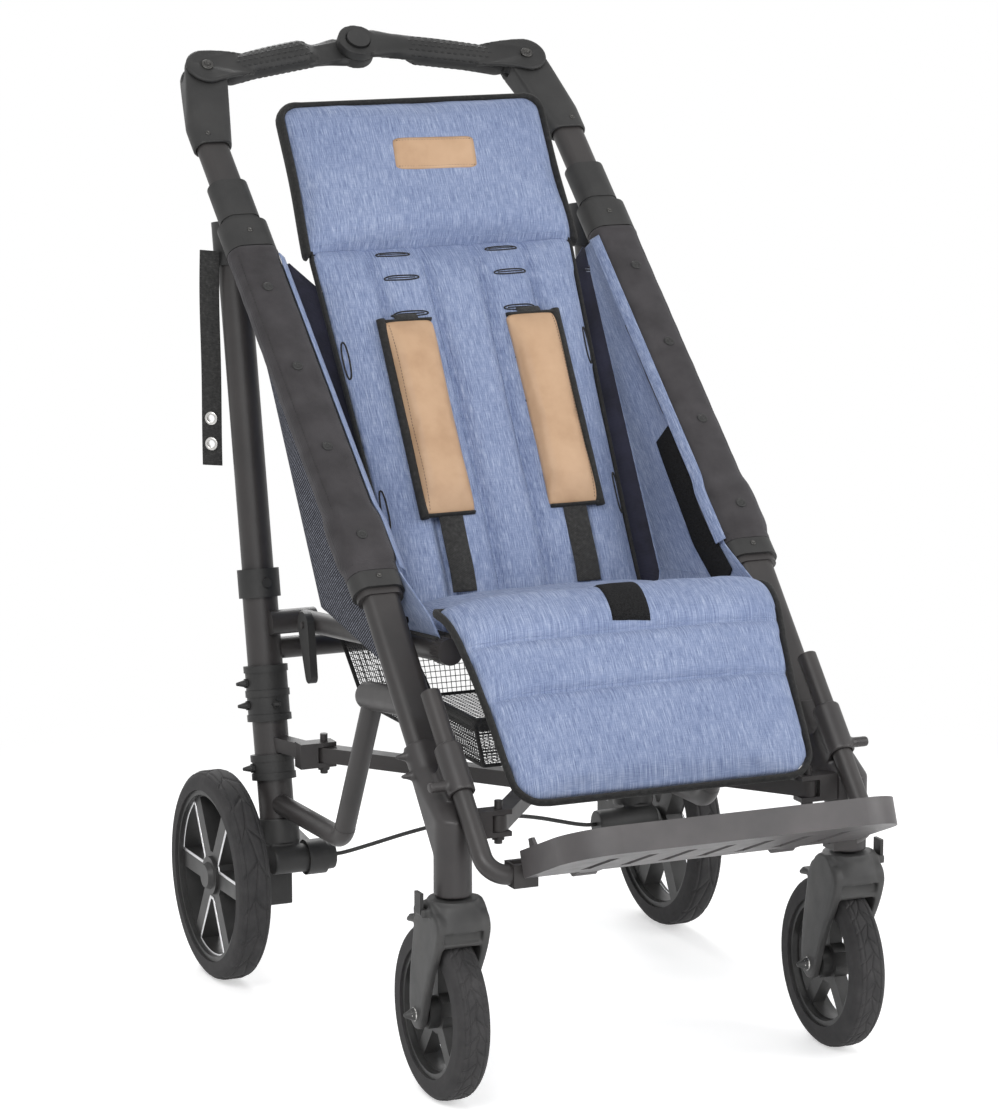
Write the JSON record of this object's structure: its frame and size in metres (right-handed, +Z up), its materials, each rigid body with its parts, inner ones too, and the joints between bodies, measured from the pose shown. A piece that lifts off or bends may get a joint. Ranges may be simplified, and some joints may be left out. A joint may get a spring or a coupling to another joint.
{
  "type": "special needs buggy",
  "caption": "Folding wheeled buggy for a seated child: raked tubular side frames, push handle, casters, rear wheels, swing-up footplate, mesh basket and a padded sling seat with harness.",
  "frame": {"origin": "on the floor, at the middle of the overall width and length", "axes": "+X to the right as seen in the picture, +Y from the footplate to the push handle, +Z up"},
  "size_m": [0.634, 1.1082, 1.1059],
  "materials": {
    "frame_paint": "satin powder coat",
    "cast_black": "satin powder coat",
    "plate_paint": "satin powder coat",
    "black_plastic": "fine grain moulded",
    "rim_plastic": "satin moulded",
    "grip": "dimpled soft grip",
    "tyre": "matt solid tyre",
    "denim": "heather woven",
    "tan_leather": "soft leather look",
    "webbing": "woven webbing",
    "mesh": "open mesh",
    "cable": "cable sheath"
  },
  "bodies": {
    "left_frame": {"front_tube_left": "frame_paint", "front_collars_left": "black_plastic", "rear_tube_left": "frame_paint", "rear_collars_left": "black_plastic", "elbow_left": "black_plastic", "caster_housing_left": "cast_black", "brake_housing_left": "black_plastic", "brace_brackets_left": "cast_black", "cross_tube_left": "frame_paint", "strut_left": "frame_paint", "seat_rail_left": "frame_paint", "side_panel_left": "denim", "back_pad": "denim", "headrest": "denim", "seat_pad": "denim", "calf_flap": "denim", "shoulder_pad_left": "tan_leather", "shoulder_pad_right": "tan_leather", "harness_straps": "webbing", "adjuster_strap": "webbing", "basket": "mesh", "brake_cable": "cable"},
    "right_frame": {"front_tube_right": "frame_paint", "front_collars_right": "black_plastic", "rear_tube_right": "frame_paint", "rear_collars_right": "black_plastic", "elbow_right": "black_plastic", "caster_housing_right": "cast_black", "brake_housing_right": "black_plastic", "brace_brackets_right": "cast_black", "cross_tube_right": "frame_paint", "strut_right": "frame_paint", "seat_rail_right": "frame_paint", "side_panel_right": "denim"},
    "handle_left": {"handle_half_left": "grip"},
    "hanger_slide_left": {"hanger_left": "frame_paint"},
    "caster_left": {"caster_fork_left": "black_plastic"},
    "front_wheel_left": {"front_rim_left": "rim_plastic", "front_tyre_left": "tyre"},
    "rear_wheel_left": {"rear_rim_left": "rim_plastic", "rear_tyre_left": "tyre"},
    "front_link_left": {"front_brace_left": "frame_paint"},
    "rear_link_left": {"rear_brace_left": "frame_paint"},
    "lock_left": {"swivel_lock_left": "black_plastic"},
    "handle_right": {"handle_half_right": "grip"},
    "hanger_slide_right": {"hanger_right": "frame_paint"},
    "caster_right": {"caster_fork_right": "black_plastic"},
    "front_wheel_right": {"front_rim_right": "rim_plastic", "front_tyre_right": "tyre"},
    "rear_wheel_right": {"rear_rim_right": "rim_plastic", "rear_tyre_right": "tyre"},
    "front_link_right": {"front_brace_right": "frame_paint"},
    "rear_link_right": {"rear_brace_right": "frame_paint"},
    "lock_right": {"swivel_lock_right": "black_plastic"},
    "button": {"handle_button": "black_plastic"},
    "foot_arm": {"foot_rod": "frame_paint"},
    "foot_plate": {"footplate": "plate_paint"},
    "pedal": {"brake_pedal": "black_plastic"},
    "latch": {"latch_lever": "black_plastic"}
  },
  "joints": [
    {"name": "frame_fold", "type": "slide", "parent": "left_frame", "child": "right_frame", "axis": [-1, 0, 0], "range_m": [0, 0.2], "deforming": ["back_pad", "headrest", "seat_pad", "calf_flap", "side_panel_left", "side_panel_right", "shoulder_pad_left", "shoulder_pad_right", "harness_straps", "basket", "brake_cable"]},
    {"name": "handle_left", "type": "hinge", "parent": "left_frame", "child": "handle_left", "pos_m": [-0.212, 0.49594, 1.05236], "axis": [0, -0.6613, 0.7501], "range_deg": [0, 48.78]},
    {"name": "front_link_left", "type": "hinge", "parent": "left_frame", "child": "front_link_left", "pos_m": [-0.189, -0.3279, 0.313], "axis": [0, 0, 1], "range_deg": [0, 21.74]},
    {"name": "rear_link_left", "type": "hinge", "parent": "left_frame", "child": "rear_link_left", "pos_m": [-0.192, 0.1701, 0.28], "axis": [0, 0, 1], "range_deg": [-21.51, 0]},
    {"name": "footrest_length_left", "type": "slide", "parent": "left_frame", "child": "hanger_slide_left", "axis": [0, -0.6775, -0.7355], "range_m": [0, 0.05]},
    {"name": "caster_left", "type": "hinge", "parent": "left_frame", "child": "caster_left", "pos_m": [-0.242, -0.3259, 0.25], "axis": [0, 0, 1], "continuous": true},
    {"name": "front_wheel_left", "type": "hinge", "parent": "caster_left", "child": "front_wheel_left", "pos_m": [-0.242, -0.2949, 0.0975], "axis": [1, 0, 0], "continuous": true},
    {"name": "rear_wheel_left", "type": "hinge", "parent": "left_frame", "child": "rear_wheel_left", "pos_m": [-0.296, 0.2451, 0.125], "axis": [1, 0, 0], "continuous": true},
    {"name": "swivel_lock_left", "type": "hinge", "parent": "caster_left", "child": "lock_left", "pos_m": [-0.2795, -0.3259, 0.222], "axis": [0, -1, 0], "range_deg": [0, 30]},
    {"name": "handle_right", "type": "hinge", "parent": "right_frame", "child": "handle_right", "pos_m": [0.212, 0.49594, 1.05236], "axis": [0, -0.6613, 0.7501], "range_deg": [-48.78, 0]},
    {"name": "front_link_right", "type": "hinge", "parent": "right_frame", "child": "front_link_right", "pos_m": [0.189, -0.3279, 0.313], "axis": [0, 0, 1], "range_deg": [-21.74, 0]},
    {"name": "rear_link_right", "type": "hinge", "parent": "right_frame", "child": "rear_link_right", "pos_m": [0.192, 0.1701, 0.28], "axis": [0, 0, 1], "range_deg": [0, 21.51]},
    {"name": "footrest_length_right", "type": "slide", "parent": "right_frame", "child": "hanger_slide_right", "axis": [0, -0.6775, -0.7355], "range_m": [0, 0.05]},
    {"name": "caster_right", "type": "hinge", "parent": "right_frame", "child": "caster_right", "pos_m": [0.242, -0.3259, 0.25], "axis": [0, 0, 1], "continuous": true},
    {"name": "front_wheel_right", "type": "hinge", "parent": "caster_right", "child": "front_wheel_right", "pos_m": [0.242, -0.2949, 0.0975], "axis": [1, 0, 0], "continuous": true},
    {"name": "rear_wheel_right", "type": "hinge", "parent": "right_frame", "child": "rear_wheel_right", "pos_m": [0.296, 0.2451, 0.125], "axis": [1, 0, 0], "continuous": true},
    {"name": "swivel_lock_right", "type": "hinge", "parent": "caster_right", "child": "lock_right", "pos_m": [0.2795, -0.3259, 0.222], "axis": [0, 1, 0], "range_deg": [0, 30]},
    {"name": "foot_arm", "type": "hinge", "parent": "hanger_slide_left", "child": "foot_arm", "pos_m": [-0.192, -0.39803, 0.2729], "axis": [0, -1, 0], "range_deg": [0, 91]},
    {"name": "footplate_flip", "type": "hinge", "parent": "foot_arm", "child": "foot_plate", "pos_m": [0, -0.39803, 0.2729], "axis": [1, 0, 0], "range_deg": [-50, 0]},
    {"name": "brake_pedal", "type": "hinge", "parent": "left_frame", "child": "pedal", "pos_m": [-0.198, 0.1901, 0.15], "axis": [-1, 0, 0], "range_deg": [0, 20]},
    {"name": "fold_latch", "type": "hinge", "parent": "left_frame", "child": "latch", "pos_m": [-0.2085, 0.1821, 0.434], "axis": [-1, 0, 0], "range_deg": [0, 35]},
    {"name": "handle_button", "type": "slide", "parent": "handle_right", "child": "button", "axis": [0, 0.6613, -0.7501], "range_m": [0, 0.003], "stiffness_N_per_m": 1500}
  ],
  "couplings": [
    {"joint": "handle_left", "follows": "frame_fold", "rad_per_m": 4.17},
    {"joint": "front_link_left", "follows": "frame_fold", "rad_per_m": 1.81},
    {"joint": "rear_link_left", "follows": "frame_fold", "rad_per_m": -1.79},
    {"joint": "handle_right", "follows": "frame_fold", "rad_per_m": -4.17},
    {"joint": "front_link_right", "follows": "frame_fold", "rad_per_m": -1.81},
    {"joint": "rear_link_right", "follows": "frame_fold", "rad_per_m": 1.79},
    {"joint": "footrest_length_right", "follows": "footrest_length_left", "ratio": 1},
    {"joint": "foot_arm", "follows": "frame_fold", "rad_per_m": 7.854}
  ]
}
